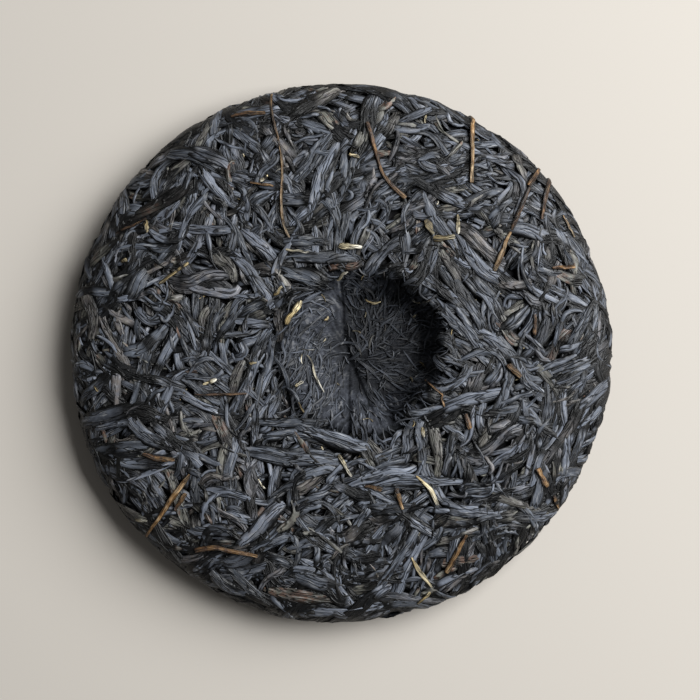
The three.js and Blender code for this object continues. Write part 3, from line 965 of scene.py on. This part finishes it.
def bed_material():
    """Crushed leaf at the bottom of the gaps, near black as painted shade, and the smeared leaf that lines the
    hollow, darker in its low streaks and on the hollow's floor as painted shade and paler on its high streaks
    as painted highlight.
    """
    material, tree, bsdf = shader("crushed_bed")
    coords = tree.nodes.new("ShaderNodeTexCoord").outputs["Object"]
    crumb_in = {"Vector": coords, "Scale": CRUMB_SIZE}
    crumb = add_node(tree, "ShaderNodeTexVoronoi", crumb_in).outputs["Distance"]
    speckle = noise_at(tree, coords, SPECKLE_SIZE, SPECKLE_DETAIL)
    relief = attribute(tree, "relief")
    # The lining's tint follows its relief: painted shade in low streaks, painted highlight on high ones.
    smear = ramp(tree, calc(tree, "MULTIPLY_ADD", speckle, SPECKLE_WEIGHT, relief), LINING_TINTS_AND_SHADE)
    # Painted shade on the hollow's floor.
    shade = remap(tree, attribute(tree, "deep"), DEEP_RANGE, DEEP_PAINTED_SHADE, "SMOOTHSTEP")
    lined = remap(tree, relief, LINED_RANGE, (0.0, 1.0))
    colour = mixed(tree, lined, ramp(tree, crumb, SHADED_BED_CRUMBS), scaled(tree, smear, shade))
    tree.links.new(colour, bsdf.inputs["Base Color"])
    dent_in = {"Strength": BED_BUMP, "Distance": BED_BUMP_DISTANCE, "Height": speckle}
    dent = add_node(tree, "ShaderNodeBump", dent_in)
    tree.links.new(dent.outputs["Normal"], bsdf.inputs["Normal"])
    bsdf.inputs["Roughness"].default_value = BED_ROUGHNESS
    bsdf.inputs["Specular IOR Level"].default_value = BED_GLOSS
    return material


STREAK_TURN, STREAK_TURN_SIZE = 0.22, 11.0
STREAKS, STREAK_RUN, STREAK_HEIGHT = 17.0, 0.09, 0.34
HAIRS, HAIR_RUN, HAIR_HEIGHT = 41.0, 0.2, 0.3
HAIR_SHIFT = 4.0
PATCH_SIZE, PATCH_EDGE, PATCH_HEIGHT = 4.5, 3.0, 0.16
GRAIN_SIZE, GRAIN_HEIGHT = 0.9, 0.2
TURN_LAYER, PATCH_LAYER, GRAIN_LAYER = 3.0, 9.0, 5.0


def lining_relief(x, y):
    """Height of the smeared leaf in the hollow: a fan of streaks, broken into patches, with fine grain."""
    out = math.hypot(x - FAN_X, y - FAN_Y)
    sway = noise.noise(Vector((x, y, TURN_LAYER)) / STREAK_TURN_SIZE)
    angle = math.atan2(y - FAN_Y, x - FAN_X) + STREAK_TURN * sway
    round_fan = Vector((math.cos(angle), math.sin(angle), 0.0))
    streak = noise.noise(round_fan * STREAKS + Vector((0.0, 0.0, STREAK_RUN * out)))
    hair = noise.noise(round_fan * HAIRS + Vector((HAIR_SHIFT, 0.0, HAIR_RUN * out)))
    patch = math.tanh(PATCH_EDGE * noise.noise(Vector((x, y, PATCH_LAYER)) / PATCH_SIZE))
    grain = noise.noise(Vector((x, y, GRAIN_LAYER)) / GRAIN_SIZE)
    return STREAK_HEIGHT * streak + HAIR_HEIGHT * hair + PATCH_HEIGHT * patch + GRAIN_HEIGHT * grain


CRUMB_RELIEF_SIZE = 1.7
RELIEF_MIDDLE, RELIEF_SPREAD = 0.5, 0.8


def bed_piece():
    mesh = bpy.data.meshes.new("pressed_bed")
    points, relief, deep = [], [], []
    _, _, front_rings, segments = BED_GRID
    for i, (x, y, z) in enumerate(bed_points):
        place = Vector((x, y, z))
        normal = onto_bed(place)[1]
        on_back = i >= front_rings * segments
        lined = float(lining_share(x, y)) if on_back else 0.0
        smear = lining_relief(x, y) if lined > 0.0 else 0.0
        crumbs = BED_RELIEF * noise.noise(place / CRUMB_RELIEF_SIZE)
        points.append((place + normal * (crumbs * (1.0 - lined) + smear * lined)) * MM)
        relief.append((RELIEF_MIDDLE + RELIEF_SPREAD * smear) * lined)
        deep.append(float(deep_share(x, y)))
    mesh.from_pydata(points, [], bed_faces)
    mesh.attributes.new("relief", "FLOAT", "POINT").data.foreach_set("value", relief)
    mesh.attributes.new("deep", "FLOAT", "POINT").data.foreach_set("value", deep)
    settle(mesh)
    mesh.materials.append(bed_material())
    mesh.polygons.foreach_set("use_smooth", [True] * len(mesh.polygons))
    return new_piece("pressed_bed", mesh)


# Strips are laid from the bed up, so that later ones lie on earlier ones.
BACK_EDGE = 97.0
BED_START = 34.0
RIM_BAND = (2.0, 19.0)  # heights that the rim strips start at
TOP_RING = (38.0, 94.0)
LIP_SHARE = 0.8  # locks start outside this share of the hollow
LINING_REACH, LINING_LOOSE = 31.0, 1.5
SHRED_REACH = 30.0
BED_COUNT, FRONT_COUNT, RIM_COUNT = 900, 1500, 680
LOCK_SPOTS, LOCK_SIZES = 690, (3, 4, 5, 6)
RIBBON_PICK, FOLDED_PICK = 0.42, 0.78  # locks are ribbons below the first draw and folded below the second
LINING_COUNT, SHRED_COUNT, FLECK_COUNT = 760, 90, 120
TOP_FOLDED, TOP_ROLLED = 40, 25


def back_starts(count, inner, outer, *spread):
    return [back_start(x, y) for x, y in disc_spots(count, inner, outer, *spread)]


bed_strips = scattered(back_starts(BED_COUNT, BED_START, BACK_EDGE), BED_STRIP)
front_spots = [front_start(x, y) for x, y in disc_spots(FRONT_COUNT, 0.0, BACK_EDGE)]
front_strips = scattered(front_spots, FRONT_STRIP, keep_out=False)
rim_spots = [rim_start(i * GOLDEN_ANGLE, draw.uniform(*RIM_BAND)) for i in range(RIM_COUNT)]
rim_strips = scattered(rim_spots, RIM_STRIP)
ribbons, folded_leaves, rolled_leaves = [], [], []
lock_spots = [(x, y) for x, y in disc_spots(LOCK_SPOTS, 0.0, BACK_EDGE) if hollow_share(x, y) > LIP_SHARE]
draw.shuffle(lock_spots)
for x, y in lock_spots:
    pick = draw.random()
    place, size = back_start(x, y), draw.choice(LOCK_SIZES)
    if pick < RIBBON_PICK:
        ribbons += lock(place, RIBBON, size)
    elif pick < FOLDED_PICK:
        folded_leaves += lock(place, FOLDED, size)
    else:
        rolled_leaves += lock(place, ROLLED, size)
lining_spots = back_starts(LINING_COUNT, 0.0, LINING_REACH, (LINING_X, LINING_Y), LINING_LOOSE)
smeared = [
    leaf for leaf in scattered(lining_spots, SMEARED, keep_out=False)
    if cloth_fold(leaf["spine"][:, 0], leaf["spine"][:, 1]).max() < FOLD_MARGIN
]
shreds = scattered(back_starts(SHRED_COUNT, 0.0, SHRED_REACH, (LIP_X, LIP_Y)), SHRED, keep_out=False)
folded_leaves += scattered(back_starts(TOP_FOLDED, *TOP_RING), FOLDED)
rolled_leaves += scattered(back_starts(TOP_ROLLED, *TOP_RING), ROLLED)
stems = [picked(*stem, STEM_CUT) for stem in STEMS]
buds = [picked(*bud, BUD_CUT) for bud in BUDS]
flecks = scattered(back_starts(FLECK_COUNT, 0.0, TOP_RING[1]), FLECK, keep_out=False)

bed = bed_piece()
leaf_pieces = [
    bed,
    swept("bed_strips", bed_strips, shaded_bed_skin, sides=5, fold=0.8),
    swept("front_strips", front_strips, leaf_skin, sides=6, fold=0.8),
    swept("rim_strips", rim_strips, leaf_skin, sides=7, fold=1.2),
    swept("ribbon_leaves", ribbons, ribbon_skin, sides=9, fold=0.6, spread=3.4, run=80.0, square=0.75),
    swept("folded_leaves", folded_leaves, leaf_skin, sides=8, fold=1.4, square=0.9),
    swept("rolled_leaves", rolled_leaves, leaf_skin, sides=7, fold=1.0, square=1.0),
    swept("smeared_leaves", smeared, smear_skin, sides=6, fold=0.4),
    swept("hollow_shreds", shreds, leaf_skin, sides=5, fold=0.8),
]
stem_piece = swept("stems", stems, stem_skin, sides=8, fold=0.9, spread=3.0, run=40.0)
bud_piece = swept("buds", buds + flecks, bud_skin, sides=8, fold=1.3)
made = leaf_pieces + [stem_piece, bud_piece]
for piece in made:
    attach(piece, "root")
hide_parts("tea_cake")

# Floor, light and camera.
FLOOR_COLOUR = (0.453, 0.419, 0.374)
FLOOR_HALF = 3.0
FLOOR_DROP = 0.0002
FLOOR_ROUGHNESS = 0.8
WINDOW_PLACE, WINDOW_AIM = (0.95, 0.46, 0.95), (0.0, 0.0, 0.01)
WINDOW_SIZE, WINDOW_POWER = 1.2, 53.0
WINDOW_COLOUR = (0.97, 0.985, 1.0)
FILL_LIGHT = 0.1


def floor_piece():
    mesh = bpy.data.meshes.new("floor")
    corners = [(sx * FLOOR_HALF, sy * FLOOR_HALF, 0.0) for sx, sy in ((-1, -1), (1, -1), (1, 1), (-1, 1))]
    mesh.from_pydata(corners, [], [(0, 1, 2, 3)])
    material, _, bsdf = shader("pale_floor")
    bsdf.inputs["Base Color"].default_value = (*FLOOR_COLOUR, 1.0)
    bsdf.inputs["Roughness"].default_value = FLOOR_ROUGHNESS
    mesh.materials.append(material)
    floor = new_piece("floor", mesh)
    floor.location.z = -FLOOR_DROP
    return floor


floor_piece()


def area_light(name, place, aim, size, power, colour):
    light = bpy.data.lights.new(name, "AREA")
    light.size = size
    light.energy = power
    light.color = colour
    lamp = bpy.data.objects.new(name, light)
    lamp.location = place
    lamp.rotation_euler = (Vector(aim) - Vector(place)).to_track_quat("-Z", "Y").to_euler()
    bpy.context.scene.collection.objects.link(lamp)


area_light("window", WINDOW_PLACE, WINDOW_AIM, WINDOW_SIZE, WINDOW_POWER, WINDOW_COLOUR)
world = bpy.data.worlds.new("studio")
bpy.context.scene.world = world
world.use_nodes = True
backdrop = world.node_tree.nodes["Background"]
backdrop.inputs["Color"].default_value = (1.0, 1.0, 1.0, 1.0)
backdrop.inputs["Strength"].default_value = FILL_LIGHT
bpy.context.scene.view_settings.view_transform = "Standard"

CAMERA_HEIGHT = 620.0
OUTLINE_HEIGHT = 14.0  # height of the cake's outline as the camera sees it
camera = bpy.data.objects.new("camera", bpy.data.cameras.new("camera"))
bpy.context.scene.collection.objects.link(camera)
frame_x, frame_y = from_pixel((FRAME_PIXELS / 2.0, FRAME_PIXELS / 2.0))
camera.location = Vector((frame_x, frame_y, CAMERA_HEIGHT)) * MM
frame_half = 0.5 * FRAME_PIXELS * MM_PER_PIXEL
camera.data.angle = 2.0 * math.atan(frame_half / (CAMERA_HEIGHT - OUTLINE_HEIGHT))
bpy.context.scene.camera = camera
